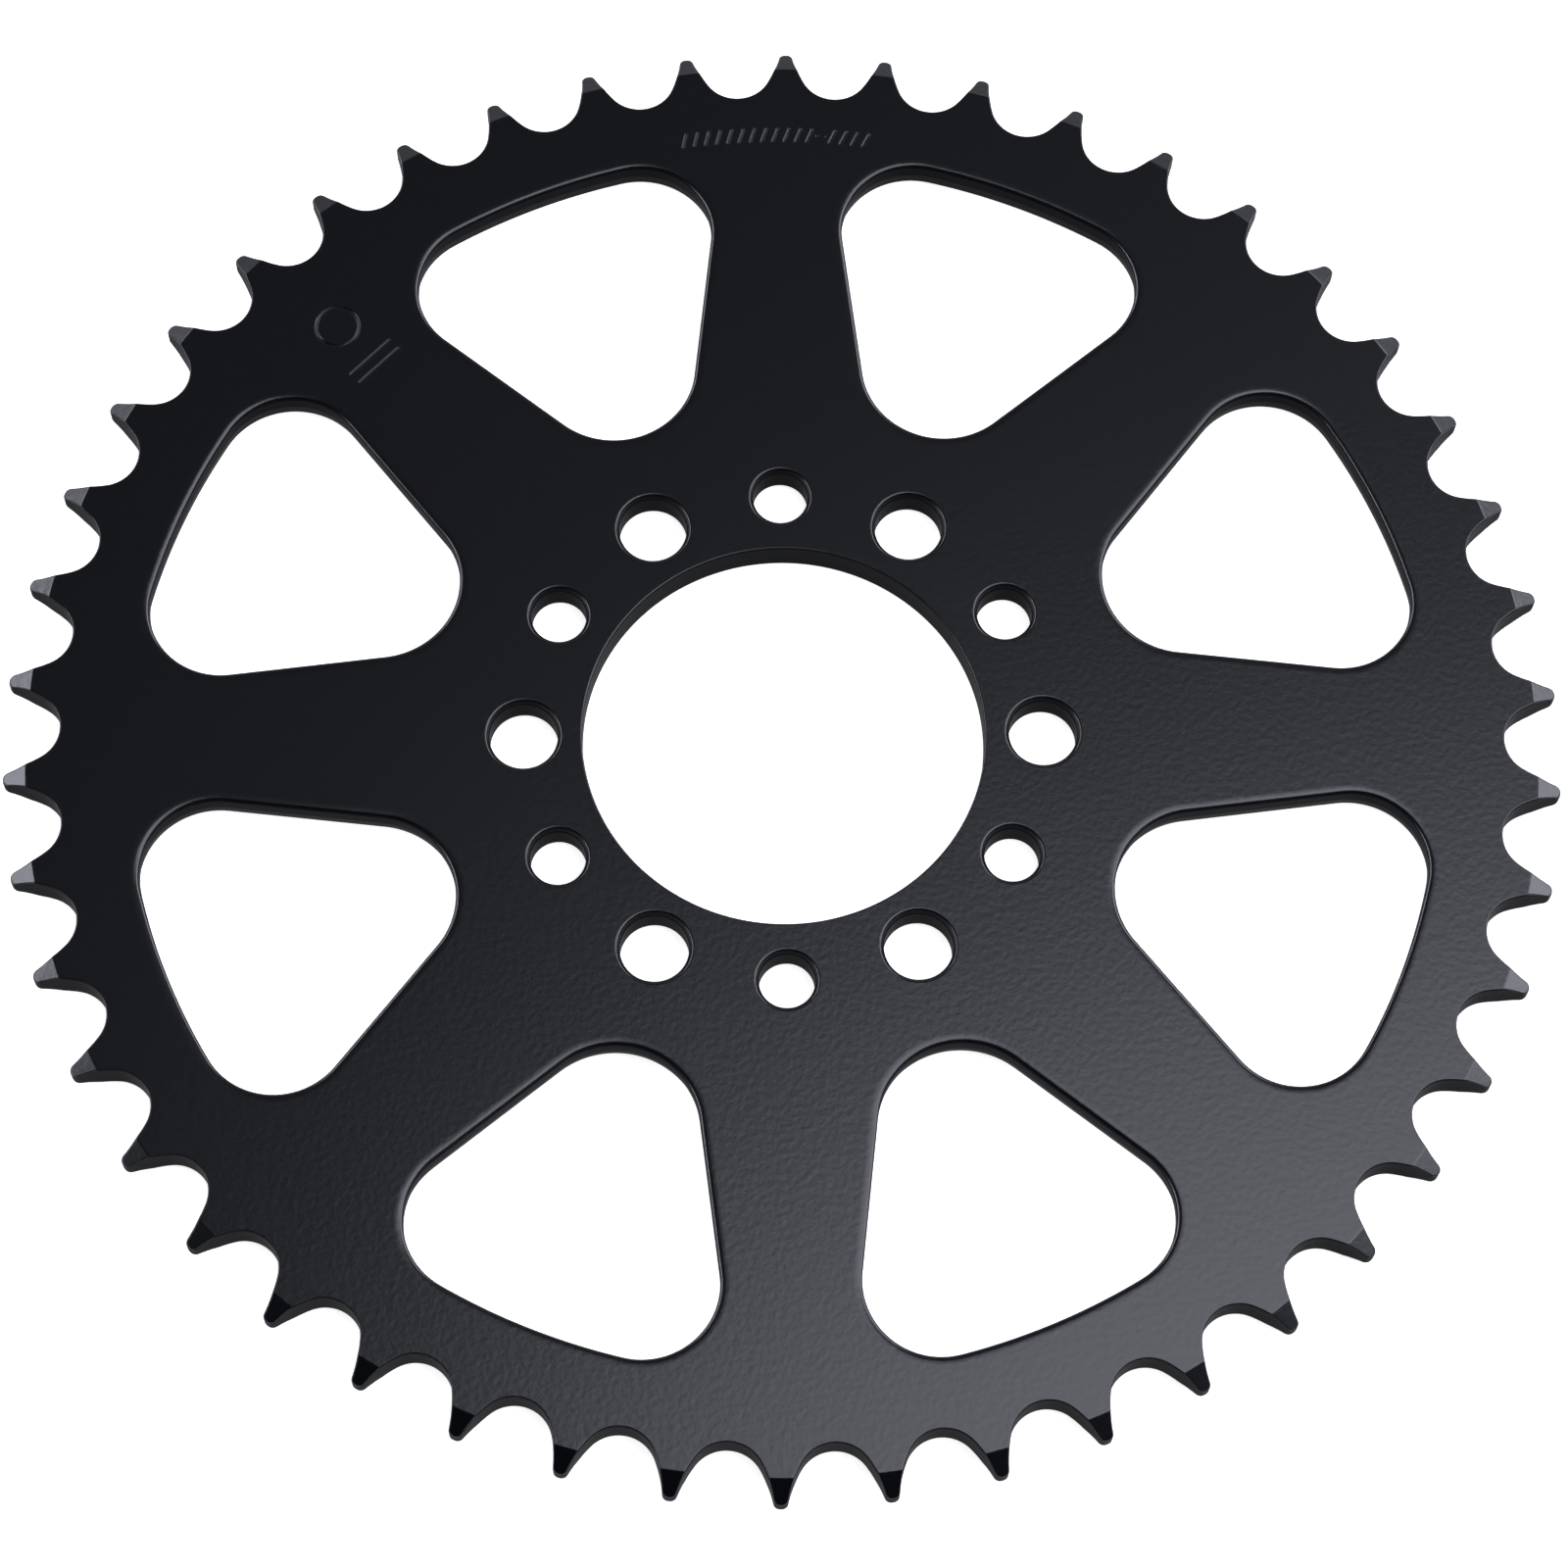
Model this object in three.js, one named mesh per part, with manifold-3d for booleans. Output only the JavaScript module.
// Rear drive sprocket of a motorcycle: one flat steel plate with teeth for a roller chain.
//
// Millimetres, +Z up. The bore's axis is Z, the plate lies on Z = 0 and its other face is at
// Z = PLATE_THICKNESS. Bolt holes and windows are set out from the X and Y axes.
import * as THREE from "three";
import { mergeVertices } from "three/addons/utils/BufferGeometryUtils.js";
import Module from "manifold-3d";

// Chain and teeth
const CHAIN_PITCH = 15.875; // 520 chain, 5/8 inch
const TEETH = 46;
const PLATE_THICKNESS = 5.8; // runs between inner plates that are 6.35 apart
const TOOTH_PHASE = -0.92; // degrees from +Y to the middle of the nearest tooth
const PITCH_RADIUS = CHAIN_PITCH / 2 / Math.sin(Math.PI / TEETH);
const ROOT_RADIUS = PITCH_RADIUS - 5.1; // half a 10.16 roller, with a little clearance
const SEAT_RADIUS = 5.65; // curve of the gap that a roller drops into
const FLANK_START = 29; // degrees between flank and middle line of a tooth, where the seat ends
const FLANK_RADIUS = 18; // hollow curve of the flank, from the seat to the tip
const TIP_RADIUS = 120;
const TIP_ROUND = 1; // corner radius where flank and tip land meet

// Turned chamfer on both sides of the tooth tips, which guides the chain's plates
const TIP_CHAMFER_RADIUS = 116.2; // where the cone leaves the flat face
const TIP_CHAMFER_DEPTH = 1.7; // along Z, at TIP_RADIUS

// Centre bore and the two rings of bolt holes that share one circle
const BORE_RADIUS = 31;
const BORE_BREAK = 0.35;
const BOLT_CIRCLE_RADIUS = 40;
const BOLT_HOLES = 12;
const LARGE_HOLE_RADIUS = 5.25; // clears an M10 bolt
const SMALL_HOLE_RADIUS = 4.25; // clears an M8 bolt
const HOLE_CHAMFER = 0.7;

// Lightening windows: a rounded triangle between each pair of spokes
const WINDOWS = 8;
const WINDOW_OUTER_RADIUS = 101; // wide end, an arc about the bore's axis
const WINDOW_CORNER_ROUND = 11.5;
const WINDOW_CORNER_OFFSET = 12.9; // from the window's middle line to a corner's centre
const WINDOW_INNER_CENTRE = 68.1; // from the bore's axis to the centre of the narrow end
const WINDOW_INNER_ROUND = 12.8;
const WINDOW_BREAK = 0.45; // the tight end of the rolled edge, on the outer face
const WINDOW_ROLL_WIDTH = 1.4; // the whole of that edge, with the shallow part the punch drags down
const WINDOW_ROLL_DEPTH = 0.12; // how far the shallow part falls
const BREAKOUT_HEIGHT = 3; // above the back, where the punch tears the steel instead of shearing it
const BREAKOUT_WIDTH = 0.5; // how much wider the window is at the back

// Steps in which round stretches are cut
const SEAT_STEPS = 4; // from the bottom of the gap to the flank
const FLANK_STEPS = 2;
const TIP_ROUND_STEPS = 2;
const WINDOW_STEPS = 7; // for each of a window's four arcs
const HOLE_STEPS = 20;
const BORE_STEPS = 72;
const BLANK_STEPS = 2 * TEETH; // one flat of the turned blank spans a whole tooth
const OVERSHOOT = 1; // how far a cutter reaches past the face it cuts
const ROLL_OVERSHOOT = 0.1; // the same, for the shallow edge of the windows

const wasm = await Module();
wasm.setup();

const radians = THREE.MathUtils.degToRad;
const toothAngle = (2 * Math.PI) / TEETH;

// Points on an arc about (x, y) from angle a to angle b, both ends included.
function arc(x, y, radius, a, b, steps) {
  const points = [];
  for (let i = 0; i <= steps; i += 1) {
    const angle = a + ((b - a) * i) / steps;
    points.push(new THREE.Vector2(x + radius * Math.cos(angle), y + radius * Math.sin(angle)));
  }
  return points;
}

function turned(points, angle) {
  const centre = new THREE.Vector2();
  return points.map((point) => point.clone().rotateAround(centre, angle));
}

// One tooth, its middle line along +X, from the bottom of the gap before it to that after it. A
// side runs from the seat, which curves about a point in the gap's middle line, over the hollow
// flank to the rounded corner of the tip land.
function toothPoints() {
  const start = radians(FLANK_START);
  const seatCentre = ROOT_RADIUS + SEAT_RADIUS;
  const gapX = seatCentre * Math.cos(toothAngle / 2);
  const gapY = -seatCentre * Math.sin(toothAngle / 2);
  const flankX = gapX + (FLANK_RADIUS - SEAT_RADIUS) * Math.sin(start);
  const flankY = gapY - (FLANK_RADIUS - SEAT_RADIUS) * Math.cos(start);
  const cornerX = TIP_RADIUS - TIP_ROUND;
  const cornerRise = Math.sqrt((FLANK_RADIUS + TIP_ROUND) ** 2 - (cornerX - flankX) ** 2);
  const meet = Math.atan2(cornerRise, cornerX - flankX);
  const foot = Math.PI / 2 + start;
  const side = [
    ...arc(gapX, gapY, SEAT_RADIUS, Math.PI - toothAngle / 2, foot, SEAT_STEPS),
    ...arc(flankX, flankY, FLANK_RADIUS, foot, meet, FLANK_STEPS).slice(1, -1),
    ...arc(cornerX, flankY + cornerRise, TIP_ROUND, meet - Math.PI, 0, TIP_ROUND_STEPS),
  ];
  const otherSide = side.map((point) => new THREE.Vector2(point.x, -point.y)).reverse();
  return [...side, ...otherSide.slice(0, -1)];
}

function rimShape() {
  const points = [];
  const first = Math.PI / 2 + radians(TOOTH_PHASE);
  for (let i = 0; i < TEETH; i += 1) {
    points.push(...turned(toothPoints(), first + i * toothAngle));
  }
  return new THREE.Shape(points);
}

// One window, its middle line along +X: corner, wide end, corner and narrow end. Its straight
// sides join the arcs. Grow moves every side outwards.
function windowPoints(grow) {
  const cornerReach = WINDOW_OUTER_RADIUS - WINDOW_CORNER_ROUND;
  const cornerX = Math.sqrt(cornerReach ** 2 - WINDOW_CORNER_OFFSET ** 2);
  const cornerAngle = Math.atan2(WINDOW_CORNER_OFFSET, cornerX);
  const runX = cornerX - WINDOW_INNER_CENTRE;
  const run = Math.hypot(runX, WINDOW_CORNER_OFFSET);
  const lean = Math.atan2(WINDOW_CORNER_OFFSET, runX);
  const side = lean + Math.asin((WINDOW_CORNER_ROUND - WINDOW_INNER_ROUND) / run);
  const normal = side + Math.PI / 2; // points out of the window through its upper side
  const wide = WINDOW_OUTER_RADIUS + grow;
  const round = WINDOW_CORNER_ROUND + grow;
  const inner = WINDOW_INNER_ROUND + grow;
  const offset = WINDOW_CORNER_OFFSET;
  return [
    ...arc(cornerX, -offset, round, -normal, -cornerAngle, WINDOW_STEPS),
    ...arc(0, 0, wide, -cornerAngle, cornerAngle, WINDOW_STEPS).slice(1, -1),
    ...arc(cornerX, offset, round, cornerAngle, normal, WINDOW_STEPS),
    ...arc(WINDOW_INNER_CENTRE, 0, inner, normal, 2 * Math.PI - normal, WINDOW_STEPS),
  ];
}

// A closed geometry as a solid that can be joined and cut.
function solid(geometry) {
  const bare = geometry.index ? geometry.toNonIndexed() : geometry.clone();
  bare.deleteAttribute("normal");
  bare.deleteAttribute("uv");
  const merged = mergeVertices(bare, 1e-5);
  const corners = merged.index.array;
  const triVerts = [];
  for (let i = 0; i < corners.length; i += 3) {
    const [a, b, c] = corners.subarray(i, i + 3);
    if (a !== b && b !== c && c !== a) triVerts.push(a, b, c);
  }
  return new wasm.Manifold(
    new wasm.Mesh({
      numProp: 3,
      vertProperties: new Float32Array(merged.attributes.position.array),
      triVerts: new Uint32Array(triVerts),
    }),
  );
}

function geometryOf(made) {
  const mesh = made.getMesh();
  const geometry = new THREE.BufferGeometry();
  geometry.setAttribute("position", new THREE.BufferAttribute(mesh.vertProperties, 3));
  geometry.setIndex(new THREE.BufferAttribute(mesh.triVerts, 1));
  geometry.computeVertexNormals();
  return geometry;
}

// A solid of revolution about Z from [radius, z] pairs that run from the axis up to the axis.
function lathe(profile, steps, turn = 0) {
  const points = profile.map(([radius, z]) => new THREE.Vector2(radius, z));
  return solid(new THREE.LatheGeometry(points, steps).rotateX(Math.PI / 2).rotateZ(turn));
}

// What the lathe leaves of the tooth tips: everything between two cones. The flats of the
// blank are centred on the teeth, and its cones meet the named radii at the flats' middles.
function turnedBlank() {
  const slope = TIP_CHAMFER_DEPTH / (TIP_RADIUS - TIP_CHAMFER_RADIUS);
  const out = 1 / Math.cos(Math.PI / BLANK_STEPS);
  const landDepth = TIP_CHAMFER_DEPTH + OVERSHOOT * slope;
  const faceRadius = (TIP_CHAMFER_RADIUS - OVERSHOOT / slope) * out;
  const landRadius = (TIP_RADIUS + OVERSHOOT) * out;
  const profile = [
    [0, -OVERSHOOT],
    [faceRadius, -OVERSHOOT],
    [landRadius, landDepth],
    [landRadius, PLATE_THICKNESS - landDepth],
    [faceRadius, PLATE_THICKNESS + OVERSHOOT],
    [0, PLATE_THICKNESS + OVERSHOOT],
  ];
  return lathe(profile, BLANK_STEPS, radians(TOOTH_PHASE) + Math.PI / BLANK_STEPS);
}

// A drill with a countersink for each end of its hole.
function holeCutter(radius, chamfer, steps) {
  const wide = radius + chamfer + OVERSHOOT;
  const profile = [
    [0, -OVERSHOOT],
    [wide, -OVERSHOOT],
    [radius, chamfer],
    [radius, PLATE_THICKNESS - chamfer],
    [wide, PLATE_THICKNESS + OVERSHOOT],
    [0, PLATE_THICKNESS + OVERSHOOT],
  ];
  return lathe(profile, steps, Math.PI / steps);
}

// A solid through rings of points, listed from the lowest up as [points, z]. Every ring has as
// many points as the others and runs counter-clockwise.
function loft(rings) {
  const size = rings[0][0].length;
  const places = rings.flatMap(([points, z]) => points.flatMap((point) => [point.x, point.y, z]));
  const corners = [];
  for (let low = 0; low < size * (rings.length - 1); low += size) {
    for (let i = 0; i < size; i += 1) {
      const next = (i + 1) % size;
      corners.push(low + i, low + next, low + size + next);
      corners.push(low + i, low + size + next, low + size + i);
    }
  }
  const top = size * (rings.length - 1);
  for (const [a, b, c] of THREE.ShapeUtils.triangulateShape(rings[0][0], [])) {
    corners.push(c, b, a);
    corners.push(top + a, top + b, top + c);
  }
  const geometry = new THREE.BufferGeometry();
  geometry.setAttribute("position", new THREE.Float32BufferAttribute(places, 3));
  geometry.setIndex(corners);
  return solid(geometry);
}

// A punched window, from the back up: the break-out that leaves it wider at the back, a straight
// land, and the tight and the shallow part of the rolled edge on the outer face.
function windowCutter() {
  const breakoutSlope = BREAKOUT_WIDTH / BREAKOUT_HEIGHT;
  const tightFoot = PLATE_THICKNESS - WINDOW_BREAK - WINDOW_ROLL_DEPTH;
  const rollSlope = (WINDOW_ROLL_WIDTH - WINDOW_BREAK) / WINDOW_ROLL_DEPTH;
  return loft([
    [windowPoints(BREAKOUT_WIDTH + OVERSHOOT * breakoutSlope), -OVERSHOOT],
    [windowPoints(0), BREAKOUT_HEIGHT],
    [windowPoints(0), tightFoot],
    [windowPoints(WINDOW_BREAK), PLATE_THICKNESS - WINDOW_ROLL_DEPTH],
    [windowPoints(WINDOW_ROLL_WIDTH + ROLL_OVERSHOOT * rollSlope), PLATE_THICKNESS + ROLL_OVERSHOOT],
  ]);
}

const aboutZ = (made, degrees) => made.rotate([0, 0, degrees]);

function plateSolid() {
  const rim = new THREE.ExtrudeGeometry(rimShape(), {
    depth: PLATE_THICKNESS,
    bevelEnabled: false,
  });
  let plate = solid(rim).intersect(turnedBlank());
  plate = plate.subtract(holeCutter(BORE_RADIUS, BORE_BREAK, BORE_STEPS));

  const window = windowCutter();
  for (let i = 0; i < WINDOWS; i += 1) {
    plate = plate.subtract(aboutZ(window, ((i + 0.5) * 360) / WINDOWS));
  }

  // Large and small holes alternate, a large one on each end of the X axis.
  for (let i = 0; i < BOLT_HOLES; i += 1) {
    const radius = i % 2 ? SMALL_HOLE_RADIUS : LARGE_HOLE_RADIUS;
    const drill = holeCutter(radius, HOLE_CHAMFER, HOLE_STEPS).translate([BOLT_CIRCLE_RADIUS, 0, 0]);
    plate = plate.subtract(aboutZ(drill, (i * 360) / BOLT_HOLES));
  }
  return plate;
}

// Satin black powder coat over the whole plate.
function blackCoat() {
  return new THREE.MeshStandardMaterial({
    color: 0x18181a,
    roughness: 0.38,
    metalness: 0.0,
  });
}

const sprocket = new THREE.Group();
const plate = new THREE.Mesh(geometryOf(plateSolid()), blackCoat());
plate.name = "sprocket_plate";
sprocket.add(plate);

export default sprocket;
